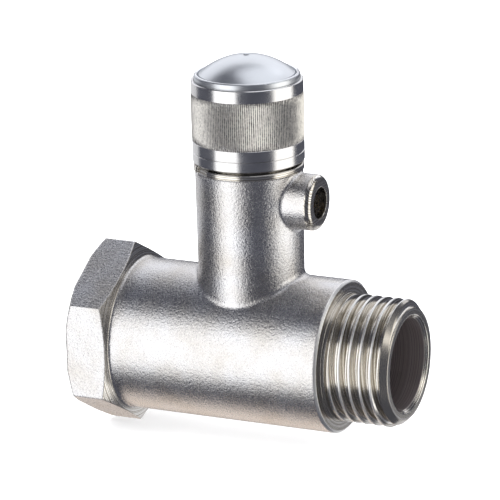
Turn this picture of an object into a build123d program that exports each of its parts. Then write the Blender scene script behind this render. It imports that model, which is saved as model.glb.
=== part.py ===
from build123d import *
import os
from math import cos, radians, sin, sqrt, tan

# Safety valve for a storage water heater: a brass body with a non-return valve in
# the pipe and a spring-loaded relief valve in the upright neck.
# Millimetres. The origin is the centre of the female thread's mouth, on the pipe
# axis. +X runs along the pipe to the male thread, +Z up the neck.

os.makedirs("parts", exist_ok=True)

# ---------------------------------------------------------------- driving sizes

# Half-inch pipe thread, at both ends.
thread_pitch = 1.814
thread_major_r = 20.955 / 2
thread_minor_r = 18.631 / 2
turn_overlap = 1.01

# Pipe.
overall_length = 55.4
body_r = 12.58
hex_across_flats = 27.0
hex_length = 7.4
shoulder_x = 44.3
male_bore_r = 7.5
centre_bore_r = 8.0
check_seat_x = 38.0
check_orifice_r = 5.2

# Neck, with the discharge spout on its male-thread side.
neck_x = 27.65
neck_top_r = 8.8
neck_foot_r = 8.68
neck_top_z = 30.36
ring_r = 9.0
ring_top_z = 31.3
spigot_r = 7.55
spigot_top_z = 38.0
relief_passage_r = 3.0
relief_seat_z = 20.5
chamber_r = 5.7
spout_z = 25.53
spout_r = 4.6
spout_bore_r = 2.6
spout_reach = 12.5

# Knurled cap.
cap_r = 9.1
knurl_root_r = 9.04
cap_bottom_z = 31.57
cap_groove_z = 33.46
knurl_bottom_z = 35.23
knurl_top_z = 43.18
cap_top_z = 45.24
dome_top_z = 49.1

# Travels.
test_turn = 90.0
test_lift = 1.5

# Gaps: between parts that only pass each other, and between faces that rest.
clear = 0.3
rest_gap = 0.05
stem_fit = 0.07
thread_fit = 0.02

# The edge break on small turned pieces.
edge_break = 0.3

neck_axis = Axis((neck_x, 0, 0), (0, 0, 1))
neck_plane = Plane(origin=(neck_x, 0, 0), x_dir=(1, 0, 0), z_dir=(0, -1, 0))


def turned_on_pipe(points):
    """A solid turned about the pipe axis from (x, radius) points."""
    with BuildPart() as turned:
        with BuildSketch(Plane.XZ):
            with BuildLine():
                Polyline(*points, close=True)
            make_face()
        revolve(axis=Axis.X)
    return turned.part


def turned_on_neck(points):
    """A solid turned about the neck axis from (radius, z) points."""
    with BuildPart() as turned:
        with BuildSketch(neck_plane):
            with BuildLine():
                Polyline(*points, close=True)
            make_face()
        revolve(axis=neck_axis)
    return turned.part


def thread_turn(root_r, open_r, start_x):
    """One turn of a pipe thread's groove, from its root out to open_r."""
    half_root = thread_pitch / 12
    depth = abs(open_r - root_r)
    outward = 1 if open_r > root_r else -1
    half_open = half_root + depth * tan(radians(27.5))
    length = thread_pitch * turn_overlap
    with BuildPart() as groove:
        with BuildLine() as path:
            Helix(thread_pitch, length, root_r, center=(start_x, 0, 0), direction=(1, 0, 0))
        start = path.line @ 0
        radial = (start - Vector(start_x, 0, 0)).normalized()
        with BuildSketch(Plane(origin=start, x_dir=radial, z_dir=path.line % 0)):
            with BuildLine():
                Polyline(
                    (0, -half_root),
                    (outward * depth, -half_open),
                    (outward * depth, half_open),
                    (0, half_root),
                    close=True,
                )
            make_face()
        sweep(is_frenet=True)
    return groove.part


def coil_spring(coil_r, wire_r, turns, start, direction, length):
    """A round-wire compression spring whose wire's centre line is length long."""
    with BuildPart() as coil:
        with BuildLine() as path:
            Helix(length / turns, length, coil_r, center=start, direction=direction)
        with BuildSketch(Plane(origin=path.line @ 0, z_dir=path.line % 0)):
            Circle(wire_r)
        sweep(is_frenet=True)
    return coil.part


def save(part, name):
    """Labels one finished piece and writes its STEP file."""
    part.label = name
    export_step(part, f"parts/{name}.step")


# ------------------------------------------------------------------------- body

# Hexagon with its corners up and down, turned off to a circle at the mouth and
# down to the pipe at the back.
hex_corner_r = hex_across_flats / sqrt(3)
hex_mouth_r = 13.92
mouth_cone = tan(radians(30))
back_cone = tan(radians(18.5))
hex_envelope = turned_on_pipe(
    [
        (0, 0),
        (0, hex_mouth_r),
        ((hex_corner_r - hex_mouth_r) * mouth_cone, hex_corner_r),
        (hex_length - (hex_corner_r - body_r) * back_cone, hex_corner_r),
        (hex_length, body_r),
        (hex_length, 0),
    ]
)
with BuildPart() as hex_end:
    with BuildSketch(Plane.YZ):
        RegularPolygon(hex_corner_r, 6, rotation=30)
    extrude(amount=hex_length)
    add(hex_envelope, mode=Mode.INTERSECT)

# The bores along the pipe: female thread, gasket recess, guide seat with its
# circlip groove, valve chamber, check orifice and male bore.
thread_depth = 12.5
gasket_face_x = 14.5
gasket_recess_r = 10.6
guide_bore_r = 8.9
circlip_groove = (15.4, 16.5)
circlip_groove_r = 9.5
guide_step_x = 18.3
orifice_end_x = 40.0
mouth_r = 10.9
male_mouth_r = 8.1
pipe_bores = turned_on_pipe(
    [
        (-1, 0),
        (-1, mouth_r),
        (0, mouth_r),
        (mouth_r - thread_minor_r, thread_minor_r),
        (thread_depth, thread_minor_r),
        (thread_depth, gasket_recess_r),
        (gasket_face_x, gasket_recess_r),
        (gasket_face_x, guide_bore_r),
        (circlip_groove[0], guide_bore_r),
        (circlip_groove[0], circlip_groove_r),
        (circlip_groove[1], circlip_groove_r),
        (circlip_groove[1], guide_bore_r),
        (guide_step_x, guide_bore_r),
        (guide_step_x, centre_bore_r),
        (check_seat_x, centre_bore_r),
        (check_seat_x, check_orifice_r),
        (orifice_end_x, check_orifice_r),
        (orifice_end_x, male_bore_r),
        (overall_length - male_mouth_r + male_bore_r, male_bore_r),
        (overall_length, male_mouth_r),
        (overall_length + 1, male_mouth_r),
        (overall_length + 1, 0),
    ]
)

# The male end outside: a cylinder from the shoulder, with a fine groove beside it, to
# a chamfered tip.
tip_r = 9.15
relief_x = shoulder_x + 0.85
relief_half = 0.16
relief_depth = 0.22
male_end = turned_on_pipe(
    [
        (shoulder_x - 1, 0),
        (shoulder_x - 1, thread_major_r),
        (relief_x - relief_half, thread_major_r),
        (relief_x, thread_major_r - relief_depth),
        (relief_x + relief_half, thread_major_r),
        (overall_length - thread_major_r + tip_r, thread_major_r),
        (overall_length, tip_r),
        (overall_length, 0),
    ]
)

# The relief passage, its raised seat, the spring chamber and the screw's bore.
screw_bore_r = 6.2
screw_bore_z = 33.2
seat_rim_r = 3.8
seat_height = 0.9
wire_groove_z = 33.5
wire_r = 0.42
wire_ring_r = 7.7
wire_groove_r = 7.2
relief_bores = turned_on_neck(
    [
        (0, 4),
        (relief_passage_r, 4),
        (relief_passage_r, relief_seat_z),
        (seat_rim_r, relief_seat_z),
        (seat_rim_r, relief_seat_z - seat_height),
        (chamber_r, relief_seat_z - seat_height),
        (chamber_r, screw_bore_z),
        (screw_bore_r, screw_bore_z),
        (screw_bore_r, spigot_top_z - edge_break),
        (screw_bore_r + edge_break, spigot_top_z),
        (screw_bore_r + edge_break, spigot_top_z + 1),
        (0, spigot_top_z + 1),
    ]
)

# The female thread runs from the mouth into the gasket recess, and the male thread
# from the tip to a narrow collar at the shoulder, where it starts low at the back.
# Each groove is cut a turn at a time, and the turns overlap a little.
groove_extra = 0.25
male_turns = 6
female_turns = 8
thread_start_x = shoulder_x + 0.95
thread_start_angle = 210
male_turn = thread_turn(thread_minor_r, thread_major_r + groove_extra, 0)
female_turn = thread_turn(thread_major_r, thread_minor_r - groove_extra, -thread_pitch)

# A shallow notch across the neck's machined ring, on its hexagon side.
ring_edge = 0.15
notch_angle = 233.7
notch_width = 3.6
notch_depth = 0.55
notch_direction = (cos(radians(notch_angle)), sin(radians(notch_angle)), 0)
notch_plane = Plane(
    origin=(neck_x, 0, (neck_top_z + ring_top_z) / 2), x_dir=notch_direction, z_dir=(0, 0, 1)
)

cast_fillet = 1.1
spout_fillet = 0.7
shoulder_chamfer = 0.35
spout_round = 0.95
hex_fillet = 0.5
with BuildPart() as body:
    # The cast pipe, its far end the shoulder behind the male thread.
    with BuildSketch(Plane.YZ.offset(hex_length / 2)):
        Circle(body_r)
    extrude(amount=shoulder_x - hex_length / 2)
    chamfer(body.edges().group_by(Axis.X)[-1], shoulder_chamfer)

    # The cast neck, very slightly tapered, blended into the pipe.
    with BuildSketch(neck_plane):
        with BuildLine():
            Polyline(
                (0, 0),
                (neck_foot_r, 0),
                (neck_foot_r, body_r),
                (neck_top_r, neck_top_z),
                (neck_top_r, ring_top_z),
                (0, ring_top_z),
                close=True,
            )
        make_face()
    revolve(axis=neck_axis)
    neck_root = [
        edge
        for edge in body.edges().filter_by(GeomType.CIRCLE, reverse=True)
        if edge.bounding_box().min.Z > 0 and edge.bounding_box().size.Y > neck_foot_r
    ]
    fillet(neck_root, cast_fillet)

    # The discharge spout, blended into the neck.
    with BuildSketch(Plane.YZ.offset(neck_x)):
        with Locations((0, spout_z)):
            Circle(spout_r)
    extrude(amount=spout_reach)
    spout_root = [
        edge
        for edge in body.edges().filter_by(GeomType.CIRCLE, reverse=True)
        if edge.bounding_box().min.Z > body_r + 2 * cast_fillet
        and edge.bounding_box().size.Y < 2.2 * spout_r
        and edge.bounding_box().max.X < neck_x + neck_top_r
        and edge.bounding_box().size.Z > spout_r
    ]
    fillet(spout_root, spout_fillet)
    spout_rim = [
        edge
        for edge in body.edges().filter_by(GeomType.CIRCLE)
        if abs(edge.center().X - neck_x - spout_reach) < 0.01 and edge.center().Z > body_r
    ]
    fillet(spout_rim, spout_round)

    # The machined ring under the cap, and the spigot that the cap turns on.
    with BuildSketch(neck_plane):
        with BuildLine():
            Polyline(
                (0, neck_top_z),
                (ring_r, neck_top_z),
                (ring_r, ring_top_z - ring_edge),
                (ring_r - ring_edge, ring_top_z),
                (spigot_r, ring_top_z),
                (spigot_r, wire_groove_z - wire_r - rest_gap),
                (wire_groove_r, wire_groove_z - wire_r - rest_gap),
                (wire_groove_r, wire_groove_z + wire_r + rest_gap),
                (spigot_r, wire_groove_z + wire_r + rest_gap),
                (spigot_r, spigot_top_z - edge_break),
                (spigot_r - edge_break, spigot_top_z),
                (0, spigot_top_z),
                close=True,
            )
        make_face()
    revolve(axis=neck_axis)
    with BuildSketch(notch_plane):
        with Locations((ring_r, 0)):
            Rectangle(2 * notch_depth, notch_width)
    extrude(amount=ring_top_z - neck_top_z, both=True, mode=Mode.SUBTRACT)

    # The turned ends, then every bore.
    add(hex_end.part)
    hex_root = [
        edge
        for edge in body.edges().filter_by(GeomType.CIRCLE)
        if abs(edge.center().X - hex_length) < 0.01 and abs(edge.radius - body_r) < 0.01
    ]
    fillet(hex_root, hex_fillet)
    add(male_end)
    add(pipe_bores, mode=Mode.SUBTRACT)
    add(relief_bores, mode=Mode.SUBTRACT)
    with BuildSketch(Plane.YZ.offset(neck_x + chamber_r / 2)):
        with Locations((0, spout_z)):
            Circle(spout_bore_r)
    extrude(amount=spout_reach, mode=Mode.SUBTRACT)

    # Both pipe threads.
    for turn in range(male_turns):
        turn_x = thread_start_x + turn * thread_pitch
        with Locations(Location((turn_x, 0, 0), (thread_start_angle, 0, 0))):
            add(male_turn, mode=Mode.SUBTRACT)
    for turn in range(female_turns):
        with Locations((turn * thread_pitch, 0, 0)):
            add(female_turn, mode=Mode.SUBTRACT)
save(body.part, "body")

# ------------------------------------------------------------------ knurled cap

# The cap is open below and at the top, with a web between. The stem passes through
# the web, which carries the two test ramps.
cap_bore_r = spigot_r + clear
web_bottom_z = 38.4
web_top_z = 39.4
web_hole_r = 3.2
upper_bore_r = 7.4
disc_seat_z = 43.9
disc_bore_r = 8.68
rim_edge = 0.12
cap_wire_r = wire_ring_r + wire_r + rest_gap
groove_half = 0.1
groove_depth = 0.14
knurl_edge = 0.06
cap_foot_chamfer = 0.35
cap_profile = [
    (cap_bore_r, cap_bottom_z),
    (cap_r - cap_foot_chamfer, cap_bottom_z),
    (cap_r, cap_bottom_z + cap_foot_chamfer),
    (cap_r, cap_groove_z - groove_half),
    (cap_r - groove_depth, cap_groove_z),
    (cap_r, cap_groove_z + groove_half),
    (cap_r, knurl_bottom_z),
    (knurl_root_r, knurl_bottom_z + knurl_edge),
    (knurl_root_r, knurl_top_z - knurl_edge),
    (cap_r, knurl_top_z),
    (cap_r, cap_top_z - rim_edge),
    (cap_r - rim_edge, cap_top_z),
    (disc_bore_r, cap_top_z),
    (disc_bore_r, disc_seat_z),
    (upper_bore_r, disc_seat_z),
    (upper_bore_r, web_top_z),
    (web_hole_r, web_top_z),
    (web_hole_r, web_bottom_z),
    (cap_bore_r, web_bottom_z),
    (cap_bore_r, wire_groove_z + wire_r + rest_gap),
    (cap_wire_r, wire_groove_z + wire_r + rest_gap),
    (cap_wire_r, wire_groove_z - wire_r - rest_gap),
    (cap_bore_r, wire_groove_z - wire_r - rest_gap),
]
cap_blank = turned_on_neck(cap_profile)

# One ramp rises by the test lift over the test turn, clockwise seen from above, so
# that the cap lifts the plate as it is turned anticlockwise. It starts just behind
# the plate's foot.
foot_r = 4.8
foot_length = 1.8
foot_width = 1.2
ramp_width = 2.2
ramp_start = -10.0
ramp_turn = test_turn + 5
ramp_rise = test_lift * ramp_turn / test_turn
ramp_root = 0.1
with BuildPart() as ramp_sweep:
    with BuildLine() as ramp_path:
        Helix(
            ramp_rise * 360 / ramp_turn,
            ramp_rise,
            foot_r,
            center=(0, 0, web_top_z),
            direction=(0, 0, 1),
            lefthand=True,
        )
    with BuildSketch(Plane(origin=(foot_r, 0, web_top_z), x_dir=(1, 0, 0), z_dir=(0, -1, 0))):
        with Locations((0, -ramp_rise / 2 - ramp_root)):
            Rectangle(ramp_width, ramp_rise + 2 * ramp_root)
    sweep(path=ramp_path.line, is_frenet=True)
with BuildPart() as ramp:
    with BuildSketch(Plane.XY.offset(web_top_z - ramp_root)):
        Circle(upper_bore_r)
    extrude(amount=ramp_rise + 2 * ramp_root)
    add(ramp_sweep.part, mode=Mode.INTERSECT)

with BuildPart() as knurled_cap:
    add(cap_blank)
    for turn in (0, 180):
        with Locations(Location((neck_x, 0, 0), (0, 0, ramp_start + turn))):
            add(ramp.part)
save(knurled_cap.part, "knurled_cap")

# The pressed disc that closes the cap: a skirt, a rounded bead, a crease and a shallow
# dome with a small centre mark.
disc_r = 8.6
sheet = 0.4
skirt_bottom_z = disc_seat_z + rest_gap
bead_z = 46.25
bead_r = 8.22
crease_r = 7.9
crease_z = 45.98
nub_r = 0.5
nub_height = 0.14
nub_edge = 0.1
bead_edge = disc_r - bead_r
dome_rise = dome_top_z - crease_z
dome_r = (crease_r**2 + dome_rise**2) / (2 * dome_rise)
dome_centre_z = dome_top_z - dome_r


def dome_height(radius, drop=0):
    """Height of the dome's surface at a radius, or of the surface drop below it."""
    return dome_centre_z + sqrt((dome_r - drop) ** 2 - radius**2)


inner_crease_r = crease_r - sheet / 2
with BuildPart() as cap_disc:
    with BuildSketch(neck_plane):
        with BuildLine():
            Polyline(
                (disc_r - sheet, skirt_bottom_z),
                (disc_r, skirt_bottom_z),
                (disc_r, bead_z - bead_edge),
            )
            RadiusArc((disc_r, bead_z - bead_edge), (bead_r, bead_z), -bead_edge)
            Polyline((bead_r, bead_z), (crease_r, crease_z))
            ThreePointArc(
                (crease_r, crease_z),
                (foot_r, dome_height(foot_r)),
                (nub_r, dome_height(nub_r)),
            )
            Polyline(
                (nub_r, dome_height(nub_r)),
                (nub_r - nub_edge, dome_top_z + nub_height),
                (0, dome_top_z + nub_height),
                (0, dome_top_z - sheet),
            )
            ThreePointArc(
                (0, dome_top_z - sheet),
                (foot_r, dome_height(foot_r, sheet)),
                (inner_crease_r, dome_height(inner_crease_r, sheet)),
            )
            Polyline(
                (inner_crease_r, dome_height(inner_crease_r, sheet)),
                (disc_r - sheet, bead_z - bead_edge - sheet),
                (disc_r - sheet, skirt_bottom_z),
            )
        make_face()
    revolve(axis=neck_axis)
save(cap_disc.part, "cap_disc")

# The sprung wire ring, open at one side, that keeps the cap on the spigot.
ring_opening = 30.0
half_opening = radians(ring_opening / 2)
wire_end = (wire_ring_r * cos(half_opening), wire_ring_r * sin(half_opening))
with BuildPart() as retaining_wire:
    with BuildLine(Plane(origin=(neck_x, 0, wire_groove_z))):
        CenterArc((0, 0), wire_ring_r, ring_opening / 2, 360 - ring_opening)
    wire_start = Plane(
        origin=(neck_x + wire_end[0], wire_end[1], wire_groove_z),
        z_dir=(-wire_end[1], wire_end[0], 0),
    )
    with BuildSketch(wire_start):
        Circle(wire_r)
    sweep()
save(retaining_wire.part, "retaining_wire")

# ----------------------------------------------------------------- relief valve

# The stem: a round rod with a flat along its upper part, which keys it in the
# adjusting screw and in the lift plate. Its lower end is tapped.
stem_r = 1.75
flat_offset = 1.35
flat_bottom_z = 30.0
stem_top_z = 44.0
holder_top_z = 25.4
holder_bottom_z = 21.2
seal_top_z = 22.6
screw_shank_r = 1.0
tapped_top_z = 27.0
with BuildPart() as relief_stem:
    with BuildSketch(Plane(origin=(neck_x, 0, seal_top_z + rest_gap))):
        Circle(stem_r)
    extrude(amount=stem_top_z - seal_top_z - rest_gap)
    chamfer(relief_stem.edges().group_by(Axis.Z)[-1], edge_break)
    with BuildSketch(Plane(origin=(neck_x, 0, flat_bottom_z))):
        with Locations((flat_offset + stem_r / 2, 0)):
            Rectangle(stem_r, 2 * stem_r)
    extrude(amount=stem_top_z - flat_bottom_z, mode=Mode.SUBTRACT)
    with BuildSketch(Plane(origin=(neck_x, 0, seal_top_z))):
        Circle(screw_shank_r + rest_gap)
    extrude(amount=tapped_top_z - seal_top_z, mode=Mode.SUBTRACT)
save(relief_stem.part, "relief_stem")

# The holder carries the soft seal in a recess and the spring on its top.
holder_r = 4.7
seal_r = 4.0
holder_profile = [
    (stem_r + rest_gap, holder_top_z),
    (holder_r - edge_break, holder_top_z),
    (holder_r, holder_top_z - edge_break),
    (holder_r, holder_bottom_z + edge_break),
    (holder_r - edge_break, holder_bottom_z),
    (seal_r + rest_gap, holder_bottom_z),
    (seal_r + rest_gap, seal_top_z + rest_gap),
    (stem_r + rest_gap, seal_top_z + rest_gap),
]
save(turned_on_neck(holder_profile), "disc_holder")

# The soft seal, just clear of the seat, and the screw that clamps it to the stem.
seal_bottom_z = relief_seat_z + rest_gap
seal_profile = [
    (screw_shank_r + rest_gap, seal_bottom_z),
    (seal_r, seal_bottom_z),
    (seal_r, seal_top_z),
    (screw_shank_r + rest_gap, seal_top_z),
]
save(turned_on_neck(seal_profile), "relief_seal")

screw_head_r = 2.2
screw_head_z = 19.5
head_slot_width = 0.6
head_slot_depth = 0.5
seal_screw_profile = [
    (0, screw_head_z),
    (screw_head_r - edge_break, screw_head_z),
    (screw_head_r, screw_head_z + edge_break),
    (screw_head_r, seal_bottom_z - thread_fit),
    (screw_shank_r, seal_bottom_z - thread_fit),
    (screw_shank_r, tapped_top_z - edge_break),
    (0, tapped_top_z - edge_break),
]
with BuildPart() as seal_screw:
    add(turned_on_neck(seal_screw_profile))
    with BuildSketch(Plane(origin=(neck_x, 0, screw_head_z))):
        Rectangle(2 * screw_head_r, head_slot_width)
    extrude(amount=head_slot_depth, mode=Mode.SUBTRACT)
save(seal_screw.part, "seal_screw")

# The adjusting screw closes the chamber and sets the spring. It has a slot for the
# key, a keyed bore for the stem and a groove for the stem's O-ring.
adjuster_bottom_z = 34.4
adjuster_top_z = 37.9
adjuster_r = screw_bore_r - thread_fit
stem_bore_r = stem_r + stem_fit
o_ring_r = 0.55
o_ring_centre_r = stem_r + stem_fit + o_ring_r
o_ring_z = 35.7
o_ring_room = 0.1
slot_width = 1.6
slot_depth = 1.0
with BuildPart() as adjusting_screw:
    with BuildSketch(Plane(origin=(neck_x, 0, adjuster_bottom_z))):
        Circle(adjuster_r)
    extrude(amount=adjuster_top_z - adjuster_bottom_z)
    chamfer(adjusting_screw.edges(), edge_break)
    with BuildSketch(Plane(origin=(neck_x, 0, adjuster_bottom_z))):
        Circle(stem_bore_r)
        with Locations((flat_offset + stem_fit + stem_bore_r / 2, 0)):
            Rectangle(stem_bore_r, 2 * stem_bore_r, mode=Mode.SUBTRACT)
    extrude(amount=adjuster_top_z - adjuster_bottom_z, mode=Mode.SUBTRACT)
    with BuildSketch(Plane(origin=(neck_x, 0, o_ring_z - o_ring_r - o_ring_room))):
        Circle(o_ring_centre_r + o_ring_r + o_ring_room)
    extrude(amount=2 * (o_ring_r + o_ring_room), mode=Mode.SUBTRACT)
    with BuildSketch(Plane(origin=(neck_x, 0, adjuster_top_z))):
        Rectangle(slot_width, 2 * adjuster_r)
    extrude(amount=-slot_depth, mode=Mode.SUBTRACT)
save(adjusting_screw.part, "adjusting_screw")

with BuildPart() as stem_o_ring:
    with BuildSketch(neck_plane):
        with Locations((o_ring_centre_r, o_ring_z)):
            Circle(o_ring_r)
    revolve(axis=neck_axis)
save(stem_o_ring.part, "stem_o_ring")

# A loose washer lets the screw turn on the spring.
washer_r = 5.3
washer_thickness = 0.5
washer_top_z = adjuster_bottom_z - rest_gap
washer_bottom_z = washer_top_z - washer_thickness
washer_bore_r = 2.1
spring_washer_profile = [
    (washer_bore_r, washer_bottom_z),
    (washer_r, washer_bottom_z),
    (washer_r, washer_top_z),
    (washer_bore_r, washer_top_z),
]
save(turned_on_neck(spring_washer_profile), "spring_washer")

relief_wire_r = 0.6
relief_coil_r = 4.1
relief_turns = 4.5
relief_spring_z = holder_top_z + rest_gap + relief_wire_r
relief_spring = coil_spring(
    relief_coil_r,
    relief_wire_r,
    relief_turns,
    (neck_x, 0, relief_spring_z),
    (0, 0, 1),
    washer_bottom_z - rest_gap - relief_wire_r - relief_spring_z,
)
save(relief_spring, "relief_spring")

# The lift plate stands on the cap's web on two feet, just in front of the ramps, and
# is keyed to the stem's flat.
plate_r = 6.6
plate_bottom_z = web_top_z + ramp_rise + 2 * ramp_root
plate_top_z = 41.95
plate_edge = 0.2
with BuildPart() as lift_plate:
    with BuildSketch(Plane(origin=(neck_x, 0, plate_bottom_z))):
        Circle(plate_r)
    extrude(amount=plate_top_z - plate_bottom_z)
    chamfer(lift_plate.edges(), plate_edge)
    with BuildSketch(Plane(origin=(neck_x, 0, web_top_z + rest_gap))):
        with PolarLocations(foot_r, 2):
            Rectangle(foot_length, foot_width)
    extrude(amount=plate_bottom_z - web_top_z)
    with BuildSketch(Plane(origin=(neck_x, 0, plate_bottom_z))):
        Circle(stem_bore_r)
        with Locations((flat_offset + stem_fit + stem_bore_r / 2, 0)):
            Rectangle(stem_bore_r, 2 * stem_bore_r, mode=Mode.SUBTRACT)
    extrude(amount=plate_top_z - plate_bottom_z, mode=Mode.SUBTRACT)
save(lift_plate.part, "lift_plate")

# The nut that takes the lift, near the top of the stem.
nut_across_flats = 5.0
nut_height = 1.3
with BuildPart() as stem_nut:
    with BuildSketch(Plane(origin=(neck_x, 0, plate_top_z + rest_gap))):
        RegularPolygon(nut_across_flats / sqrt(3), 6)
        Circle(stem_r + thread_fit, mode=Mode.SUBTRACT)
    extrude(amount=nut_height)
save(stem_nut.part, "stem_nut")

# ------------------------------------------------------------- non-return valve

# The poppet: a head behind the seat, a long guided stem and a short threaded end
# that carries the soft seal, its washer and its nut through the orifice.
poppet_head_x = 34.8
seal_back_x = 36.9
seal_front_x = check_seat_x - rest_gap
poppet_head_r = 6.9
check_stem_r = 1.5
check_stem_end_x = 16.9
poppet_neck_cone = 1.5
poppet_end_x = 40.8
poppet_profile = [
    (check_stem_end_x, 0),
    (check_stem_end_x, check_stem_r - edge_break),
    (check_stem_end_x + edge_break, check_stem_r),
    (poppet_head_x - poppet_neck_cone, check_stem_r),
    (poppet_head_x, check_stem_r + poppet_neck_cone),
    (poppet_head_x, poppet_head_r - edge_break),
    (poppet_head_x + edge_break, poppet_head_r),
    (seal_back_x, poppet_head_r),
    (seal_back_x, check_stem_r),
    (poppet_end_x - edge_break, check_stem_r),
    (poppet_end_x, check_stem_r - edge_break),
    (poppet_end_x, 0),
]
save(turned_on_pipe(poppet_profile), "check_poppet")

check_seal_r = 6.4
check_seal_profile = [
    (seal_back_x + rest_gap, check_stem_r + rest_gap),
    (seal_back_x + rest_gap, check_seal_r),
    (seal_front_x, check_seal_r),
    (seal_front_x, check_stem_r + rest_gap),
]
save(turned_on_pipe(check_seal_profile), "check_seal")

seal_washer_r = 4.2
seal_washer_x = seal_front_x + thread_fit
seal_washer_end_x = seal_front_x + 0.6
seal_washer_profile = [
    (seal_washer_x, check_stem_r + rest_gap),
    (seal_washer_x, seal_washer_r),
    (seal_washer_end_x, seal_washer_r),
    (seal_washer_end_x, check_stem_r + rest_gap),
]
save(turned_on_pipe(seal_washer_profile), "check_seal_washer")

check_nut_across_flats = 5.0
check_nut_height = 1.5
with BuildPart() as check_nut:
    with BuildSketch(Plane.YZ.offset(seal_washer_end_x + thread_fit)):
        RegularPolygon(check_nut_across_flats / sqrt(3), 6)
        Circle(check_stem_r + thread_fit, mode=Mode.SUBTRACT)
    extrude(amount=check_nut_height)
save(check_nut.part, "check_nut")

# The guide: a rim against the body's step, three spokes and a hub for the stem. The
# hub's boss centres the spring.
guide_r = guide_bore_r - rest_gap
guide_rim_r = 7.2
guide_front_x = 16.55
guide_back_x = guide_step_x - thread_fit
hub_r = 3.1
hub_boss = 2.0
spoke_width = 1.8
with BuildPart() as check_guide:
    with BuildSketch(Plane.YZ.offset(guide_front_x)):
        Circle(guide_r)
        Circle(guide_rim_r, mode=Mode.SUBTRACT)
        Circle(hub_r)
        with PolarLocations((hub_r + guide_rim_r) / 2, 3, start_angle=30):
            Rectangle(guide_rim_r - hub_r + 1, spoke_width)
    extrude(amount=guide_back_x - guide_front_x)
    with BuildSketch(Plane.YZ.offset(guide_back_x)):
        Circle(hub_r)
    extrude(amount=hub_boss)
    with BuildSketch(Plane.YZ.offset(guide_front_x)):
        Circle(check_stem_r + stem_fit)
    extrude(amount=guide_back_x - guide_front_x + hub_boss, mode=Mode.SUBTRACT)
save(check_guide.part, "check_guide")

# The circlip that holds the guide in, open at the bottom.
circlip_inner_r = 8.0
circlip_opening = 4.0
with BuildPart() as check_circlip:
    with BuildSketch(Plane.YZ.offset(circlip_groove[0] + rest_gap)):
        Circle(circlip_groove_r - rest_gap)
        Circle(circlip_inner_r, mode=Mode.SUBTRACT)
        with Locations((0, -circlip_groove_r)):
            Rectangle(circlip_opening, circlip_groove_r, mode=Mode.SUBTRACT)
    extrude(amount=circlip_groove[1] - circlip_groove[0] - 2 * rest_gap)
save(check_circlip.part, "check_circlip")

# A light spring between the guide and the poppet's head, around both hubs.
check_wire_r = 0.35
check_coil_r = 4.2
check_turns = 8
check_spring_x = guide_back_x + rest_gap + check_wire_r
check_spring = coil_spring(
    check_coil_r,
    check_wire_r,
    check_turns,
    (check_spring_x, 0, 0),
    (1, 0, 0),
    poppet_head_x - rest_gap - check_wire_r - check_spring_x,
)
save(check_spring, "check_spring")

# The flat gasket at the bottom of the female thread.
gasket_bore_r = 8.4
gasket_r = gasket_recess_r - 0.2
gasket_front_x = thread_depth + 0.1
gasket_back_x = gasket_face_x - rest_gap
gasket_profile = [
    (gasket_front_x, gasket_bore_r),
    (gasket_front_x, gasket_r),
    (gasket_back_x, gasket_r),
    (gasket_back_x, gasket_bore_r),
]
save(turned_on_pipe(gasket_profile), "heater_gasket")
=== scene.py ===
# %% [markdown]
# # A water heater's safety valve
# The CAD model already holds every piece in its true place and size. This lesson
# dresses it: a camera, a small studio, one material for each finish, and the knurling
# that the CAD model leaves plain. Everything is in metres, in the CAD frame: +X runs
# along the pipe to the male thread, and +Z up the neck.

# %% Load the model as a fixed frame
from math import cos, pi, radians, sin, tan

import bpy
from mathutils import Matrix, Vector


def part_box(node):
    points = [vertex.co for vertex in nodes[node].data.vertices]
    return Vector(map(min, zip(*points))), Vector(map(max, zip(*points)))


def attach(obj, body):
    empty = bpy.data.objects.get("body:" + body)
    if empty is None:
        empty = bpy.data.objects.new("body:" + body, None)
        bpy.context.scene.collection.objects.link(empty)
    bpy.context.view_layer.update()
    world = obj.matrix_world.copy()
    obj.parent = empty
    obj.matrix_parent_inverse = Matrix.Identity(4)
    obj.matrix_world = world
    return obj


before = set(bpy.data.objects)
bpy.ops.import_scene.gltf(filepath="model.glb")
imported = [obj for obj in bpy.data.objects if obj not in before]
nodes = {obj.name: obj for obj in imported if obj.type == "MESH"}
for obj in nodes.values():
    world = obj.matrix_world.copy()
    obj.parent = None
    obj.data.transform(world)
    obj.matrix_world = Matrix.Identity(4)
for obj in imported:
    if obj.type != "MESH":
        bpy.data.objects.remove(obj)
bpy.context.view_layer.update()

MM = 0.001

# %% [markdown]
# ## Sizes that the looks depend on
# Positions come from the CAD nodes' own boxes. The cap gives the neck's axis, because
# it turns about it. A few sizes of the casting are repeated here by name, because the
# casting's finish changes where the lathe has touched it.

# %% Places on the valve
cap_low, cap_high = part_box("knurled_cap")
body_low, body_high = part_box("body")
neck_x = (cap_low.x + cap_high.x) / 2
neck_top_z = 30.36 * MM  # above it comes the turned ring under the cap
spout_end_x = neck_x + 12.5 * MM
spout_round = 0.95 * MM
pipe_r = 12.58 * MM
pipe_end_x = body_high.x
shoulder_x = 44.3 * MM  # the face that the male thread starts from
shoulder_chamfer = 0.35 * MM
thread_crest_r = 10.4 * MM
threads_r = 11.2 * MM  # both threads and the pipe's bores lie inside it
bore_r = 7.52 * MM
hex_length = 7.4 * MM
hex_back_slope = tan(radians(18.5))
hex_mouth_r = 13.92 * MM
hex_mouth_slope = tan(radians(30))
print(f"neck axis at x = {neck_x / MM:.2f} mm, pipe ends at {pipe_end_x / MM:.2f} mm")

# %% [markdown]
# ## The camera
# A long lens from about 60 cm flattens the perspective, as in a catalogue. The camera
# is placed by compass: an azimuth about the valve, an elevation above it, and a small
# roll. Its matrix is built from those angles, so there is no tracking constraint to
# go wrong.

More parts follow.
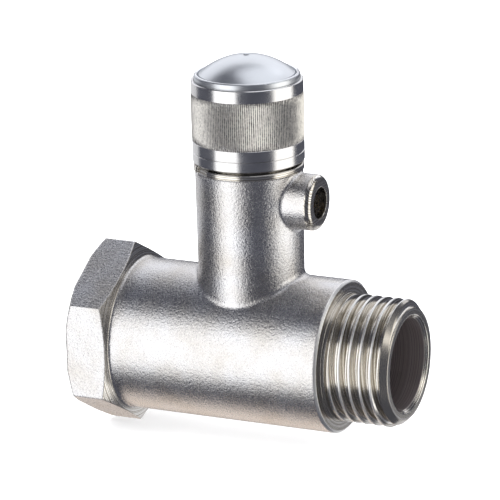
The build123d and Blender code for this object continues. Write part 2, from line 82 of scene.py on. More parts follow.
# %% Place the camera
azimuth = radians(25.42)
elevation = radians(16.74)
roll = radians(-1.43)
camera_distance = 0.6033
focal_length_mm = 266.2
sensor_width_mm = 36
aim = Vector((27.33 * MM, 0.24 * MM, 16.21 * MM))

backward = Vector(
    (sin(azimuth) * cos(elevation), -cos(azimuth) * cos(elevation), sin(elevation))
)
level_right = Vector((cos(azimuth), sin(azimuth), 0))
level_up = backward.cross(level_right)
right = level_right * cos(roll) + level_up * sin(roll)
up = level_up * cos(roll) - level_right * sin(roll)

lens = bpy.data.cameras.new("long_lens")
lens.sensor_width = sensor_width_mm
lens.lens = focal_length_mm
lens.clip_start = 0.01
lens.clip_end = 20
camera = bpy.data.objects.new("camera", lens)
camera.matrix_world = Matrix.LocRotScale(
    aim + backward * camera_distance, Matrix((right, up, backward)).transposed(), None
)
bpy.context.scene.collection.objects.link(camera)
bpy.context.scene.camera = camera
print("camera at, mm:", [round(v / MM) for v in camera.location])

# %% [markdown]
# ## Colours and nodes
# Every finish here is a node tree, and every tree is built by one function that adds a
# node and fills its inputs. Colours are written as a painter's hex codes, and one
# function turns them to the linear light that Blender reckons in.

# %% Two small helpers
def srgb(code, share=1.0):
    """A #rrggbb colour, dimmed to a share of its light, as linear RGBA."""
    channels = [int(code[i : i + 2], 16) / 255 for i in (1, 3, 5)]
    channels = [c / 12.92 if c <= 0.04045 else ((c + 0.055) / 1.055) ** 2.4 for c in channels]
    return (*[c * share for c in channels], 1.0)


def add_node(tree, kind, inputs=None, stops=None, **settings):
    """Adds a node with its properties, its inputs' values or links, and its ramp's stops."""
    node = tree.nodes.new(kind)
    for name, value in settings.items():
        setattr(node, name, value)
    for name, value in (inputs or {}).items():
        if isinstance(value, bpy.types.NodeSocket):
            tree.links.new(value, node.inputs[name])
        else:
            node.inputs[name].default_value = value
    for index, (position, color) in enumerate((stops or {}).items()):
        node.color_ramp.elements[index].position = position
        node.color_ramp.elements[index].color = color
    return node


print("mid grey in linear light:", round(srgb("#808080")[0], 3))

# %% [markdown]
# ## The studio floor
# Bright metal has no colour of its own to show: it shows the room. So the room is
# built first. A wide pale floor curves up into a wall all round, which leaves no
# horizon. A plane and a wall would show a corner, so the section is a quarter circle,
# spun by a loop. The floor is kept out of the reflections, as a studio does by lifting
# the object clear of it.

# %% The floor, swept up into a wall
floor_r = 1.6
cove_r = 0.5
cove_steps = 8
flat_ring_r = 0.4
wall_top = 2.2
floor_gap = 0.2 * MM
floor_z = body_low.z - floor_gap
around = 96

section = [(0.0, floor_z), (flat_ring_r, floor_z), (floor_r - cove_r, floor_z)]
for step in range(1, cove_steps + 1):
    turn = step / cove_steps * pi / 2
    section.append((floor_r - cove_r + cove_r * sin(turn), floor_z + cove_r * (1 - cos(turn))))
section.append((floor_r, wall_top))

rings = [
    [(r * cos(2 * pi * k / around), r * sin(2 * pi * k / around), z) for k in range(around)]
    for r, z in section[1:]
]
points = [(0.0, 0.0, floor_z)] + [point for ring in rings for point in ring]
faces = [(0, 1 + k, 1 + (k + 1) % around) for k in range(around)]
for ring in range(len(rings) - 1):
    low = 1 + ring * around
    high = low + around
    for k in range(around):
        beside = (k + 1) % around
        faces.append((low + k, high + k, high + beside, low + beside))
floor_mesh = bpy.data.meshes.new("studio_floor")
floor_mesh.from_pydata(points, [], faces)
floor_mesh.shade_smooth()
floor = bpy.data.objects.new("studio_floor", floor_mesh)
bpy.context.scene.collection.objects.link(floor)
print(f"floor at z = {floor_z / MM:.2f} mm, {len(faces)} faces")

# %% Its paper, matt and faintly lit, so that it stays white to the edges
paper = bpy.data.materials.new("matt white paper")
paper.use_nodes = True
paper_shader = paper.node_tree.nodes["Principled BSDF"]
paper_shader.inputs["Base Color"].default_value = srgb("#f4f4f4")
paper_shader.inputs["Roughness"].default_value = 0.9
paper_shader.inputs["Specular IOR Level"].default_value = 0.0
paper_shader.inputs["Emission Color"].default_value = srgb("#ffffff")
paper_shader.inputs["Emission Strength"].default_value = 0.35
floor_mesh.materials.append(paper)
floor.visible_glossy = False
floor.visible_shadow = False
print("floor covered with", paper.name)

# %% [markdown]
# ## The lights
# Large soft lights stand on both sides, behind and above. The gaps between them stay
# dark, because those dark gaps are what draws the crisp bands along a plated pipe. A
# ready-made sky would be quicker, but its bands couldn't be placed. Each light is put
# by how far it is turned from the camera and how high it stands.

# %% The soft lights
light_distance = 0.6
light_strength = 4


def soft_light(name, turn, rise, width, height, brightness, tint):
    """A rectangular light that faces the valve and looks equally bright at any size."""
    light = bpy.data.lights.new(name, "AREA")
    light.shape = "RECTANGLE"
    light.size = width
    light.size_y = height
    light.color = srgb(tint)[:3]
    light.energy = brightness * light_strength * width * height
    heading = azimuth + radians(turn)
    level = cos(radians(rise))
    direction = Vector((sin(heading) * level, -cos(heading) * level, sin(radians(rise))))
    lamp = bpy.data.objects.new(name, light)
    lamp.location = aim + direction * light_distance
    lamp.rotation_euler = direction.to_track_quat("Z", "Y").to_euler()
    lamp.visible_camera = False
    bpy.context.scene.collection.objects.link(lamp)


# Name, turn to the camera's right and rise in degrees, width, height, brightness, tint.
soft_lights = (
    ("left_window", -48, 0, 0.56, 0.98, 1.26, "#ffffff"),
    ("right_window", 79, -2, 0.56, 0.85, 1.25, "#fbf9f4"),
    ("back_wall_light", 180, 33, 1.1, 0.5, 0.94, "#f3f4f8"),
    ("back_left_light", -148, -16, 0.5, 0.4, 0.55, "#ffffff"),
    ("under_back_light", -156, -55, 0.5, 0.36, 0.72, "#ffeedd"),
    ("low_right_light", 150, -36, 0.45, 0.3, 0.55, "#ffffff"),
    ("overhead_panel", 112, 70, 0.5, 0.6, 0.9, "#f4f6fb"),
)
for facts in soft_lights:
    soft_light(*facts)

# %% A broad sun that lights the paper but not the reflections, and a dim room
fill = bpy.data.lights.new("overhead_sun", "SUN")
fill.energy = 2.2
fill.angle = radians(70)
overhead = bpy.data.objects.new("overhead_sun", fill)
overhead.rotation_euler = (radians(18), radians(-14), 0)
overhead.visible_glossy = False
bpy.context.scene.collection.objects.link(overhead)

world = bpy.data.worlds.new("dim_room")
world.use_nodes = True
room = world.node_tree.nodes["Background"]
room.inputs["Color"].default_value = srgb("#62646f")
room.inputs["Strength"].default_value = 0.8
bpy.context.scene.world = world
bpy.context.scene.view_settings.view_transform = "Standard"

# %% [markdown]
# ## Nickel plate on a casting
# The body is a brass casting. Its skin is sand cast and then plated, so it keeps a
# fine pebbled grain that breaks every reflection into sparkle. Where the lathe has
# cut it, at both threads, the shoulder, the ring under the cap and the spout's end,
# the same plate is smooth and shows fine rings. One material does both: it works out
# from the place on the casting whether the lathe has been there.

# %% A finish to start from, and distances from the two axes
def new_finish(name):
    """An empty material, its node tree and its Principled shader."""
    material = bpy.data.materials.new(name)
    material.use_nodes = True
    tree = material.node_tree
    return material, tree, tree.nodes["Principled BSDF"]


def per_mm(size):
    """A texture scale whose pattern repeats about once in size millimetres."""
    return 1 / (size * MM)


def surface_place(tree):
    """A surface point's place on the valve, whole and as its x, y and z."""
    place = add_node(tree, "ShaderNodeTexCoord").outputs["Object"]
    x, y, z = add_node(tree, "ShaderNodeSeparateXYZ", {"Vector": place}).outputs
    return place, x, y, z


def axis_distance(tree, offsets):
    """How far a point is from an axis, from its two offsets across that axis."""
    spoke = add_node(tree, "ShaderNodeCombineXYZ", offsets).outputs[0]
    length = add_node(tree, "ShaderNodeVectorMath", {0: spoke}, operation="LENGTH")
    return length.outputs["Value"]


def neck_distance(tree, x, y):
    """How far a point is from the neck's axis."""
    off_axis = add_node(tree, "ShaderNodeMath", {0: x, 1: neck_x}, operation="SUBTRACT")
    return axis_distance(tree, {"X": off_axis.outputs[0], "Y": y})


cast_nickel, tree, shader = new_finish("cast brass, satin nickel plate")
place, along, across, height = surface_place(tree)
pipe_radius = axis_distance(tree, {"Y": across, "Z": height})
neck_radius = neck_distance(tree, along, across)
print("started", cast_nickel.name)

# %% Where the lathe has touched the casting
# How far a point is past the cone that the lathe cut on the hexagon's back, and mouth.
back_cone, mouth_cone = [
    add_node(
        tree, "ShaderNodeMath", {0: pipe_radius, 1: slope, 2: along}, operation="MULTIPLY_ADD"
    ).outputs[0]
    for slope in (hex_back_slope, -hex_mouth_slope)
]
cone_slack = 0.03 * MM
mouth_face_x = 0.05 * MM
back_cone_start = hex_length + pipe_r * hex_back_slope - cone_slack
mouth_cone_end = cone_slack - hex_mouth_r * hex_mouth_slope

# Each zone is a list of (sign, quantity, limit): the lathe has been there where every
# signed difference is positive.
lathe_zones = {
    "shoulder and male thread": [(1, along, shoulder_x - shoulder_chamfer)],
    "mouth's face": [(-1, along, mouth_face_x)],
    "hexagon's mouth cone": [(-1, mouth_cone, mouth_cone_end)],
    "hexagon's back cone": [(1, back_cone, back_cone_start), (-1, along, hex_length)],
    "threads and the pipe's bores": [(-1, pipe_radius, threads_r)],
    "ring under the cap": [(1, height, neck_top_z)],
    "spout's end": [(1, along, spout_end_x - spout_round), (1, height, pipe_r)],
}
turned = None
for zone in lathe_zones.values():
    inside = None
    for sign, quantity, limit in zone:
        past = add_node(
            tree,
            "ShaderNodeMath",
            {0: quantity, 1: sign, 2: -sign * limit},
            operation="MULTIPLY_ADD",
        ).outputs[0]
        if inside is not None:
            both = add_node(tree, "ShaderNodeMath", {0: inside, 1: past}, operation="MINIMUM")
            past = both.outputs[0]
        inside = past
    if turned is not None:
        either = add_node(tree, "ShaderNodeMath", {0: turned, 1: inside}, operation="MAXIMUM")
        inside = either.outputs[0]
    turned = inside
edge_width = 0.05 * MM
turned = add_node(
    tree,
    "ShaderNodeMapRange",
    {"Value": turned, "From Min": -edge_width, "From Max": edge_width},
).outputs[0]
print("the lathe has touched:", ", ".join(lathe_zones))

# %% [markdown]
# ## Painted highlights on the edges and painted shade in the bore
# The shoulder's rim and the thread's crests carry a painted highlight: their plate is
# painted near white and made a little rougher. The bore carries painted shade: it is
# painted darker and browner, and made duller. These places could be painted by hand on
# an image, but an image has its own size and seams. Each is a band of distances instead,
# with soft sides, so it follows the turned shape exactly.

# %% Masks for the painted edge highlight and the painted bore shade
def between(tree, quantity, low, high, fade):
    """1 where a quantity lies between low and high, falling to 0 over fade on both sides."""
    middle, half = (low + high) / 2, (high - low) / 2
    off = add_node(tree, "ShaderNodeMath", {0: quantity, 1: middle}, operation="SUBTRACT")
    off = add_node(tree, "ShaderNodeMath", {0: off.outputs[0]}, operation="ABSOLUTE")
    ends = {"From Min": half, "From Max": half + fade, "To Min": 1.0, "To Max": 0.0}
    return add_node(tree, "ShaderNodeMapRange", {"Value": off.outputs[0], **ends}).outputs[0]


rim_low_x = shoulder_x - shoulder_chamfer - 0.02 * MM
rim_high_x = shoulder_x + 0.02 * MM
rim_low_r = pipe_r - shoulder_chamfer - 0.08 * MM
first_crest_x = shoulder_x + 1.4 * MM
above_crests_r = 11 * MM
soft_side = 0.05 * MM

on_rim_x = between(tree, along, rim_low_x, rim_high_x, 0.03 * MM)
on_rim_r = between(tree, pipe_radius, rim_low_r, pipe_r, soft_side)
on_thread = between(tree, along, first_crest_x, pipe_end_x, 0.1 * MM)
on_top = between(tree, pipe_radius, thread_crest_r, above_crests_r, soft_side)
on_rim, on_crest = [
    add_node(tree, "ShaderNodeMath", {0: first, 1: second}, operation="MULTIPLY").outputs[0]
    for first, second in ((on_rim_x, on_rim_r), (on_thread, on_top))
]
# painted highlight: the shoulder's rim and the thread's crests are painted near white
painted_edge_highlight = add_node(
    tree, "ShaderNodeMath", {0: on_rim, 1: on_crest}, operation="MAXIMUM"
).outputs[0]
# painted shade down the bore, with duller plate
in_bore = between(tree, pipe_radius, 0.0, bore_r, soft_side)
print(f"rubbed: rim at {shoulder_x / MM:.1f} mm, crests from {first_crest_x / MM:.1f} mm")

# %% [markdown]
# ## Grain and rings
# Sand leaves pebbles of about a third of a millimetre, with smaller pits between them.
# Noise gives the pebbles and Voronoi cells the pits. The lathe leaves rings, which are
# noise along one line: a place along the axis plus the distance from it makes rings
# on walls and end faces alike. Modelled grain would need millions of faces, so both are
# bump. Real edges are never sharp, so a Bevel node rounds what the bump starts from.

# %% The casting's grain and the lathe's rings
grain_mm = 0.34
pit_mm = 0.24
pit_share = 0.15
ring_mm = 0.16  # real lathe rings are finer, too fine to show, so they are drawn wider
grain = add_node(
    tree,
    "ShaderNodeTexNoise",
    {"Vector": place, "Scale": per_mm(grain_mm), "Detail": 3.0, "Roughness": 0.65},
).outputs["Fac"]
pits = add_node(
    tree, "ShaderNodeTexVoronoi", {"Vector": place, "Scale": per_mm(pit_mm)}
).outputs["Distance"]
skin = add_node(
    tree, "ShaderNodeMath", {0: pits, 1: pit_share, 2: grain}, operation="MULTIPLY_ADD"
).outputs[0]

on_ring = add_node(
    tree, "ShaderNodeMath", {0: height, 1: neck_top_z}, operation="GREATER_THAN"
).outputs[0]
pipe_track, neck_track = [
    add_node(tree, "ShaderNodeMath", {0: length, 1: radius}, operation="ADD").outputs[0]
    for length, radius in ((along, pipe_radius), (height, neck_radius))
]
track = add_node(
    tree,
    "ShaderNodeMix",
    {"Factor": on_ring, "A": pipe_track, "B": neck_track},
    data_type="FLOAT",
).outputs[0]
rings_made = add_node(
    tree,
    "ShaderNodeTexNoise",
    {"W": track, "Scale": per_mm(ring_mm), "Detail": 1.0},
    noise_dimensions="1D",
).outputs["Fac"]
print(f"grain {grain_mm} mm, pits {pit_mm} mm, rings {ring_mm} mm")

# %% Bump on softened edges
cast_depth, cast_edge_r = 0.072 * MM, 0.45 * MM
ring_depth, turned_edge_r = 0.0045 * MM, 0.2 * MM
bumps = []
for relief, depth, edge_r in (
    (skin, cast_depth, cast_edge_r),
    (rings_made, ring_depth, turned_edge_r),
):
    soft_edge = add_node(tree, "ShaderNodeBevel", {"Radius": edge_r}, samples=6).outputs[0]
    bump = add_node(
        tree,
        "ShaderNodeBump",
        {"Height": relief, "Strength": 1.0, "Distance": depth, "Normal": soft_edge},
    )
    bumps.append(bump.outputs[0])
normal = add_node(
    tree, "ShaderNodeMix", {"Factor": turned, 4: bumps[0], 5: bumps[1]}, data_type="VECTOR"
).outputs[1]
tree.links.new(normal, shader.inputs["Normal"])
print(f"edges softened by {cast_edge_r / MM} mm as cast, {turned_edge_r / MM} mm as turned")

# %% [markdown]
# ## The plate's colour and polish
# Nickel is a warm, slightly yellow white. On the casting it is faintly clouded, and
# speckled by the grain. Turned plate is smoother, with dark oil left in its rings. Over
# these go a painted highlight on the shoulder's rim and the crests, and painted shade in
# the bore. The layers go on one over another, each through its own mask, as a painter
# would lay them.

# %% Colour and polish in layers
cloud_mm = 6.0
clouds = add_node(
    tree, "ShaderNodeTexNoise", {"Vector": place, "Scale": per_mm(cloud_mm), "Detail": 3.0}
).outputs["Fac"]
tints = []
for pattern, stops in (
    (clouds, {0.3: srgb("#d3cfc9"), 0.7: srgb("#e2e2e3")}),
    (grain, {0.38: srgb("#efeeef"), 0.6: srgb("#ffffff")}),
    (rings_made, {0.35: srgb("#a39b8d"), 0.65: srgb("#f1eee8")}),
    # painted shade for the bore: darker and browner, banded by the rings
    (rings_made, {0.35: srgb("#7a7173"), 0.65: srgb("#9b9292")}),
):
    ramp = add_node(tree, "ShaderNodeValToRGB", {"Fac": pattern}, stops)
    tints.append(ramp.outputs[0])
cast_tint, speckle, ring_tint, painted_bore_shade = tints
color = add_node(
    tree,
    "ShaderNodeMix",
    {"Factor": 1.0, "A": cast_tint, "B": speckle},
    data_type="RGBA",
    blend_type="MULTIPLY",
).outputs[2]
polish = add_node(
    tree,
    "ShaderNodeMapRange",
    {"Value": grain, "From Min": 0.3, "From Max": 0.7, "To Min": 0.215, "To Max": 0.315},
).outputs[0]
for mask, tint, roughness in (
    (turned, ring_tint, 0.2),
    # painted highlight on the rim and the crests, near white and a little rougher
    (painted_edge_highlight, srgb("#f6f5f2"), 0.36),
    # painted shade in the bore, darker and duller
    (in_bore, painted_bore_shade, 0.42),
):
    color = add_node(
        tree, "ShaderNodeMix", {"Factor": mask, "A": color, "B": tint}, data_type="RGBA"
    ).outputs[2]
    polish = add_node(
        tree, "ShaderNodeMix", {"Factor": mask, "A": polish, "B": roughness}, data_type="FLOAT"
    ).outputs[0]
tree.links.new(color, shader.inputs["Base Color"])
tree.links.new(polish, shader.inputs["Roughness"])
metal_share = add_node(
    tree, "ShaderNodeMapRange", {"Value": in_bore, "To Min": 1.0, "To Max": 0.8}
).outputs[0]
tree.links.new(metal_share, shader.inputs["Metallic"])
print("casting finish:", len(tree.nodes), "nodes")

# %% Dress the casting
def dress(material, *names):
    """Gives CAD nodes one material, in their own material slots."""
    for name in names:
        for holder in nodes[name].material_slots:
            holder.material = material
    print(material.name, "->", ", ".join(names))


dress(cast_nickel, "body")

# %% [markdown]
# ## Turned metal
# The cap, the valve stems, screws and nuts all come off a lathe. A turned piece shows
# fine rings round its own axis, and a little unevenness in its polish. One function
# makes such a finish from a colour and an axis, because the plated cap and the bare
# brass inside differ only in those. Real rings are finer than these, too fine to show.

# %% A function for turned metal
smear_mm = 3.0


def clouded_metal(tree, shader, clouds, dullest, brightest, stops):
    """Makes the shader a metal whose colour and polish vary with a pattern of clouds."""
    tint = add_node(tree, "ShaderNodeValToRGB", {"Fac": clouds}, stops)
    ends = {"From Min": 0.3, "From Max": 0.7, "To Min": brightest, "To Max": dullest}
    polish = add_node(tree, "ShaderNodeMapRange", {"Value": clouds, **ends})
    tree.links.new(tint.outputs[0], shader.inputs["Base Color"])
    tree.links.new(polish.outputs[0], shader.inputs["Roughness"])
    shader.inputs["Metallic"].default_value = 1.0


def turned_metal(name, code, roughness, axis, ring_mm, depth):
    """Turned metal, with rings round the neck's axis or the pipe's."""
    material, tree, shader = new_finish(name)
    place, x, y, z = surface_place(tree)
    if axis == "pipe":
        length, radius = x, axis_distance(tree, {"Y": y, "Z": z})
    else:
        length, radius = z, neck_distance(tree, x, y)
    track = add_node(tree, "ShaderNodeMath", {0: length, 1: radius}, operation="ADD")
    rings = add_node(
        tree,
        "ShaderNodeTexNoise",
        {"W": track.outputs[0], "Scale": per_mm(ring_mm), "Detail": 2.0},
        noise_dimensions="1D",
    ).outputs["Fac"]
    relief = {"Height": rings, "Strength": 1.0, "Distance": depth}
    bump = add_node(tree, "ShaderNodeBump", relief)
    tree.links.new(bump.outputs[0], shader.inputs["Normal"])
    smears = add_node(
        tree, "ShaderNodeTexNoise", {"Vector": place, "Scale": per_mm(smear_mm), "Detail": 4.0}
    ).outputs["Fac"]
    stops = {0.35: srgb(code, 0.92), 0.65: srgb(code, 1.04)}
    clouded_metal(tree, shader, smears, roughness * 1.25, roughness * 0.8, stops)
    return material


# %% The plated cap, bright and cool, and the brass inside, yellow and warm
cap_nickel = turned_metal(
    "turned brass, bright nickel plate", "#dfdedd", 0.21, "neck", 0.14, 0.0016 * MM
)
neck_brass = turned_metal(
    "turned brass, neck pieces", "#d9b56a", 0.2, "neck", 0.12, 0.002 * MM
)
pipe_brass = turned_metal(
    "turned brass, pipe pieces", "#d9b56a", 0.2, "pipe", 0.12, 0.002 * MM
)
dress(cap_nickel, "knurled_cap")
dress(neck_brass, "relief_stem", "disc_holder", "seal_screw")
dress(neck_brass, "adjusting_screw", "lift_plate", "stem_nut")
dress(pipe_brass, "check_nut")

# %% [markdown]
# ## Pressed, stamped and drawn steel
# The disc in the cap is pressed from satin stainless sheet. Rolling leaves faint
# straight lines in the sheet, and pressing it into a dome leaves soft clouds. The
# washers are stamped from the same sheet. The springs, the circlip and the cap's ring
# are drawn wire, darker and with lengthwise marks too fine to see, so a speckle of
# uneven polish stands for them.

# %% Three finishes from one steel
sheet_cloud_mm = 5.0


def worn_steel(name, code, roughness, grain_mm, stretch, depth):
    """Steel whose grain is stretched along X, as rolling or drawing leaves it."""
    material, tree, shader = new_finish(name)
    place = add_node(tree, "ShaderNodeTexCoord").outputs["Object"]
    shrink = {"Vector": place, "Scale": (1 / stretch, 1, 1)}
    rolled = add_node(tree, "ShaderNodeMapping", shrink).outputs[0]
    lines, clouds = [
        add_node(
            tree, "ShaderNodeTexNoise", {"Vector": rolled, "Scale": per_mm(size), "Detail": 3.0}
        ).outputs["Fac"]
        for size in (grain_mm, sheet_cloud_mm)
    ]
    relief = {"Height": lines, "Strength": 1.0, "Distance": depth}
    bump = add_node(tree, "ShaderNodeBump", relief)
    tree.links.new(bump.outputs[0], shader.inputs["Normal"])
    stops = {0.3: srgb(code, 0.88), 0.7: srgb(code)}
    clouded_metal(tree, shader, clouds, roughness * 1.3, roughness * 0.8, stops)
    return material


pressed_steel = worn_steel(
    "stainless sheet, satin, pressed", "#e1e4e7", 0.34, 0.3, 8, 0.004 * MM
)
stamped_steel = worn_steel("stainless sheet, stamped", "#c2c4c6", 0.32, 0.25, 5, 0.002 * MM)
wire_steel = worn_steel("stainless spring wire, drawn", "#a9aaad", 0.3, 0.15, 2, 0.0015 * MM)
dress(stamped_steel, "spring_washer", "check_seal_washer")
dress(wire_steel, "retaining_wire", "relief_spring", "check_spring", "check_circlip")

# %% [markdown]
# ## The disc's bead and crease
# The disc's edge is rolled into a bead, with a crease inside it. The CAD disc has both as
# shapes, but a shape this small needs help from its finish to be seen, so two rings of
# colour are laid on it: a painted highlight, white and a little smoother, on the bead,
# and painted shade, dark grey, in the crease.

# %% Two rings on the disc: a painted highlight on the bead and painted shade in the crease
crease_low_r, crease_high_r = 7.78 * MM, 7.98 * MM
bead_low_r, bead_high_r = 8.1 * MM, 8.28 * MM
disc_fade = 0.06 * MM
tree = pressed_steel.node_tree
shader = tree.nodes["Principled BSDF"]
x, y = surface_place(tree)[1:3]
radius = neck_distance(tree, x, y)
# painted shade in the crease and painted highlight on the bead, as rings of radius
painted_crease_shade = between(tree, radius, crease_low_r, crease_high_r, disc_fade)
painted_bead_highlight = between(tree, radius, bead_low_r, bead_high_r, disc_fade)
disc_color = shader.inputs["Base Color"].links[0].from_socket
for mask, code in ((painted_crease_shade, "#6d747d"), (painted_bead_highlight, "#ffffff")):
    disc_color = add_node(
        tree,
        "ShaderNodeMix",
        {"Factor": mask, "A": disc_color, "B": srgb(code)},
        data_type="RGBA",
    ).outputs[2]
tree.links.new(disc_color, shader.inputs["Base Color"])
disc_polish = shader.inputs["Roughness"].links[0].from_socket
# the painted bead highlight is also a little smoother
bead_polish = add_node(
    tree, "ShaderNodeMix", {"Factor": painted_bead_highlight, "A": disc_polish, "B": 0.24}, data_type="FLOAT"
).outputs[0]
tree.links.new(bead_polish, shader.inputs["Roughness"])
dress(pressed_steel, "cap_disc")

# %% [markdown]
# ## Rubber and plastic
# The seals are black nitrile rubber, moulded and matt. The gasket is cut from rubber
# sheet, a little greyer and coarser. The non-return valve is black acetal, moulded,
# with the slight sheen of a hard plastic. None of them is metal, so their colour comes
# from the base colour and their look from how rough they are.

# %% One function for the dull pieces
def moulded(name, code, roughness, grain_mm, depth):
    """A matt black rubber or plastic with a fine moulded grain."""
    material, tree, shader = new_finish(name)
    place = add_node(tree, "ShaderNodeTexCoord").outputs["Object"]
    grain = add_node(
        tree, "ShaderNodeTexNoise", {"Vector": place, "Scale": per_mm(grain_mm), "Detail": 4.0}
    ).outputs["Fac"]
    relief = {"Height": grain, "Strength": 1.0, "Distance": depth}
    bump = add_node(tree, "ShaderNodeBump", relief)
    tree.links.new(bump.outputs[0], shader.inputs["Normal"])
    stops = {0.0: srgb(code, 0.7), 1.0: srgb(code, 1.4)}
    tint = add_node(tree, "ShaderNodeValToRGB", {"Fac": grain}, stops)
    tree.links.new(tint.outputs[0], shader.inputs["Base Color"])
    shader.inputs["Roughness"].default_value = roughness
    return material


nitrile = moulded("nitrile rubber, moulded", "#232325", 0.55, 0.3, 0.004 * MM)
sheet_rubber = moulded("sheet rubber, cut", "#2b2b2c", 0.7, 0.5, 0.01 * MM)
acetal = moulded("acetal, moulded", "#1f2023", 0.4, 0.2, 0.002 * MM)
dress(nitrile, "relief_seal", "stem_o_ring", "check_seal")
dress(sheet_rubber, "heater_gasket")
dress(acetal, "check_poppet", "check_guide")

# %% [markdown]
# ## The knurling
# A wheel rolled against the cap has pressed a band of straight teeth into it, about
# three to the millimetre. One could draw them as bump, but then the band's edge would
# stay smooth against the light. Geometry Nodes makes them as real ridges instead: one
# small diamond bar, copied round the axis, each copy standing half out of the band.
# The wheel never bites evenly, so noise lowers the crests here and there, which breaks
# the lines up as plating and wear do on the real cap.

# %% The knurl's sizes
knurl_foot_z = 35.23 * MM
knurl_top_z = 43.18 * MM
knurl_root_r = 9.04 * MM
knurl_crest_r = 9.16 * MM
knurl_pitch = 0.338 * MM
knurl_teeth = round(2 * pi * knurl_root_r / knurl_pitch)
print("knurl teeth:", knurl_teeth)

# %% The knurl's finish, with painted light on the crests and painted shade between them
lit_r = 9.13 * MM
crumb_mm = 0.35
knurl_nickel, tree, shader = new_finish("knurled brass, nickel plate")
place, x, y = surface_place(tree)[:3]
radius = neck_distance(tree, x, y)
# painted shade at the teeth's roots, rising to painted light towards the crests
up_the_tooth = add_node(
    tree, "ShaderNodeMapRange", {"Value": radius, "From Min": knurl_root_r, "From Max": lit_r}
).outputs[0]
crumbs = add_node(
    tree,
    "ShaderNodeTexNoise",
    {"Vector": place, "Scale": per_mm(crumb_mm), "Detail": 2.0, "Roughness": 0.7},
).outputs["Fac"]
# Noise lies about a half, so this swings the light as far down as up.
crumb_light = add_node(
    tree, "ShaderNodeMath", {0: crumbs, 1: 1.6, 2: -0.8}, operation="MULTIPLY_ADD"
).outputs[0]
lit = add_node(
    tree, "ShaderNodeMath", {0: up_the_tooth, 1: crumb_light}, operation="ADD"
).outputs[0]
# painted light and shade: dark grey at the roots, pale on the crests
painted_tooth_shading_stops = {0.05: srgb("#7d7a79"), 0.8: srgb("#eeebe4")}
painted_tooth_shading = add_node(tree, "ShaderNodeValToRGB", {"Fac": lit}, painted_tooth_shading_stops)
tree.links.new(painted_tooth_shading.outputs[0], shader.inputs["Base Color"])
crumb_bump = add_node(
    tree, "ShaderNodeBump", {"Height": crumbs, "Strength": 1.0, "Distance": 0.03 * MM}
)
tree.links.new(crumb_bump.outputs[0], shader.inputs["Normal"])
shader.inputs["Roughness"].default_value = 0.52
shader.inputs["Metallic"].default_value = 1.0
print("knurl finish:", len(tree.nodes), "nodes")

# %% [markdown]
# ## Growing the teeth
# The teeth repeat by a rule, so a Geometry Nodes tree grows them and a modelled tooth
# isn't copied by hand. The tree has a named input for each size, so a finer or a
# longer knurl is one changed number. It starts from one bar, stands a copy at each
# tooth's angle, and then moves the crests a little in or out.

# %% The node tree, with a named input for each size
knurl_tree = bpy.data.node_groups.new("knurl_band", "GeometryNodeTree")
knurl_tree.is_modifier = True
sockets = knurl_tree.interface
sockets.new_socket("Geometry", in_out="OUTPUT", socket_type="NodeSocketGeometry")
knurl_inputs = {
    "Teeth": ("NodeSocketInt", knurl_teeth),
    "Root radius": ("NodeSocketFloat", knurl_root_r),
    "Crest height": ("NodeSocketFloat", knurl_crest_r - knurl_root_r),
    "Half width": ("NodeSocketFloat", knurl_pitch / 2),
    "Foot": ("NodeSocketFloat", knurl_foot_z),
    "Length": ("NodeSocketFloat", knurl_top_z - knurl_foot_z),
    "Axis": ("NodeSocketFloat", neck_x),
    "Unevenness": ("NodeSocketFloat", 0.12 * MM),
    "Bite size": ("NodeSocketFloat", 0.5 * MM),
    "Seed": ("NodeSocketFloat", 4.0),
}
for name, (kind, value) in knurl_inputs.items():
    sockets.new_socket(name, in_out="INPUT", socket_type=kind).default_value = value
given = add_node(knurl_tree, "NodeGroupInput").outputs
print("knurl inputs:", ", ".join(knurl_inputs))

# %% One tooth, a diamond bar that thins out at both ends
bar_rows = 12
end_share = 0.3  # of a tooth's full height, left at its very ends
bar = add_node(
    knurl_tree,
    "GeometryNodeMeshCylinder",
    {"Vertices": 4, "Side Segments": bar_rows, "Radius": 1.0, "Depth": 1.0},
    fill_type="NGON",
).outputs["Mesh"]
bar_place = add_node(knurl_tree, "GeometryNodeInputPosition").outputs[0]
bar_x, bar_y, bar_z = add_node(
    knurl_tree, "ShaderNodeSeparateXYZ", {"Vector": bar_place}
).outputs
taper = bar_z
for operation, terms in (
    ("ABSOLUTE", {}),
    ("MULTIPLY_ADD", {1: -1.0, 2: 0.5}),
    ("MULTIPLY_ADD", {1: bar_rows / 2, 2: end_share}),
    ("MINIMUM", {1: 1.0}),
    ("MULTIPLY", {1: bar_x}),
):
    taper = add_node(
        knurl_tree, "ShaderNodeMath", {0: taper, **terms}, operation=operation
    ).outputs[0]
tooth_axes = {}
for axis, unit, size in (
    ("X", taper, "Crest height"),
    ("Y", bar_y, "Half width"),
    ("Z", bar_z, "Length"),
):
    tooth_axes[axis] = add_node(
        knurl_tree, "ShaderNodeMath", {0: unit, 1: given[size]}, operation="MULTIPLY"
    ).outputs[0]
tooth_place = add_node(knurl_tree, "ShaderNodeCombineXYZ", tooth_axes).outputs[0]
tooth = add_node(
    knurl_tree, "GeometryNodeSetPosition", {"Geometry": bar, "Position": tooth_place}
).outputs[0]
out_to_root = add_node(
    knurl_tree, "ShaderNodeCombineXYZ", {"X": given["Root radius"]}
).outputs[0]
tooth = add_node(
    knurl_tree, "GeometryNodeTransform", {"Geometry": tooth, "Translation": out_to_root}
).outputs[0]
print("faces of a tooth:", 4 * bar_rows + 2)

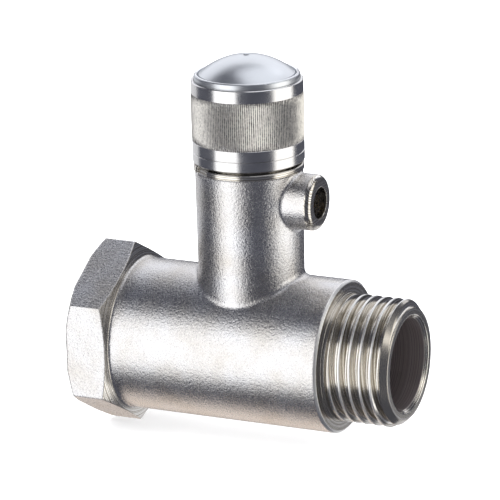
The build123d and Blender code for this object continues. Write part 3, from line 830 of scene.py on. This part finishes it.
# %% The teeth round the axis
spots = add_node(knurl_tree, "GeometryNodePoints", {"Count": given["Teeth"]}).outputs[0]
angle = add_node(knurl_tree, "GeometryNodeInputIndex").outputs[0]
for operation, term in (("MULTIPLY", 2 * pi), ("DIVIDE", given["Teeth"])):
    angle = add_node(
        knurl_tree, "ShaderNodeMath", {0: angle, 1: term}, operation=operation
    ).outputs[0]
turn_to = add_node(knurl_tree, "ShaderNodeCombineXYZ", {"Z": angle}).outputs[0]
turn_to = add_node(knurl_tree, "FunctionNodeEulerToRotation", {"Euler": turn_to}).outputs[0]
band = add_node(
    knurl_tree,
    "GeometryNodeInstanceOnPoints",
    {"Points": spots, "Instance": tooth, "Rotation": turn_to},
).outputs[0]
band = add_node(knurl_tree, "GeometryNodeRealizeInstances", {"Geometry": band}).outputs[0]
print(f"one tooth every {360 / knurl_teeth:.2f} degrees")

# %% Uneven bites: noise about its middle, with the high crests cut off
highest_crest = 0.06  # as a share of the unevenness
band_place = add_node(knurl_tree, "GeometryNodeInputPosition").outputs[0]
bite_scale = add_node(
    knurl_tree, "ShaderNodeMath", {0: 1.0, 1: given["Bite size"]}, operation="DIVIDE"
).outputs[0]
sink = add_node(
    knurl_tree,
    "ShaderNodeTexNoise",
    {"Vector": band_place, "W": given["Seed"], "Scale": bite_scale, "Detail": 2.0},
    noise_dimensions="4D",
).outputs["Fac"]
for operation, term in (
    ("SUBTRACT", 0.5),
    ("MINIMUM", highest_crest),
    ("MULTIPLY", given["Unevenness"]),
):
    sink = add_node(
        knurl_tree, "ShaderNodeMath", {0: sink, 1: term}, operation=operation
    ).outputs[0]
shift = band_place
for operation, terms in (
    ("MULTIPLY", {1: (1, 1, 0)}),
    ("NORMALIZE", {}),
    ("SCALE", {"Scale": sink}),
):
    shift = add_node(
        knurl_tree, "ShaderNodeVectorMath", {0: shift, **terms}, operation=operation
    ).outputs[0]
highest_move = highest_crest * knurl_inputs["Unevenness"][1]
print(f"crests move out by at most {highest_move / MM:.4f} mm")

# %% The band's place on the cap, and its material
middle = add_node(
    knurl_tree,
    "ShaderNodeMath",
    {0: given["Length"], 1: 0.5, 2: given["Foot"]},
    operation="MULTIPLY_ADD",
).outputs[0]
to_cap = add_node(
    knurl_tree, "ShaderNodeCombineXYZ", {"X": given["Axis"], "Z": middle}
).outputs[0]
shift = add_node(
    knurl_tree, "ShaderNodeVectorMath", {0: shift, 1: to_cap}, operation="ADD"
).outputs[0]
band = add_node(
    knurl_tree, "GeometryNodeSetPosition", {"Geometry": band, "Offset": shift}
).outputs[0]
band = add_node(
    knurl_tree, "GeometryNodeSetMaterial", {"Geometry": band, "Material": knurl_nickel}
).outputs[0]
add_node(knurl_tree, "NodeGroupOutput", {"Geometry": band})
print("knurl tree:", len(knurl_tree.nodes), "nodes")

# %% [markdown]
# ## From tree to piece
# A modifier's result exists only while the modifier does. The band is wanted as an
# ordinary piece that turns with the cap, so the tree is run once, its result is kept
# as a mesh of its own, and the modifier goes.

# %% Run the tree and keep its result as a plain mesh
def plain_piece(name, tree, values):
    """Runs a Geometry Nodes tree with values for its inputs, as a plain mesh object."""
    seed_mesh = bpy.data.meshes.new(name + "_seed")
    grower = bpy.data.objects.new(name + "_seed", seed_mesh)
    bpy.context.scene.collection.objects.link(grower)
    growth = grower.modifiers.new("grow", "NODES")
    growth.node_group = tree
    for socket in tree.interface.items_tree:
        if socket.in_out == "INPUT" and socket.name in values:
            growth[socket.identifier] = values[socket.name]
    bpy.context.view_layer.update()
    grown = grower.evaluated_get(bpy.context.evaluated_depsgraph_get())
    mesh = bpy.data.meshes.new_from_object(grown)
    mesh.name = name
    grower.modifiers.clear()
    bpy.data.objects.remove(grower)
    piece = bpy.data.objects.new(name, mesh)
    bpy.context.scene.collection.objects.link(piece)
    print(name, "faces:", len(mesh.polygons))
    return piece


knurl_values = {name: value for name, (kind, value) in knurl_inputs.items()}
cap_knurl = plain_piece("cap_knurl", knurl_tree, knurl_values)
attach(cap_knurl, "cap")
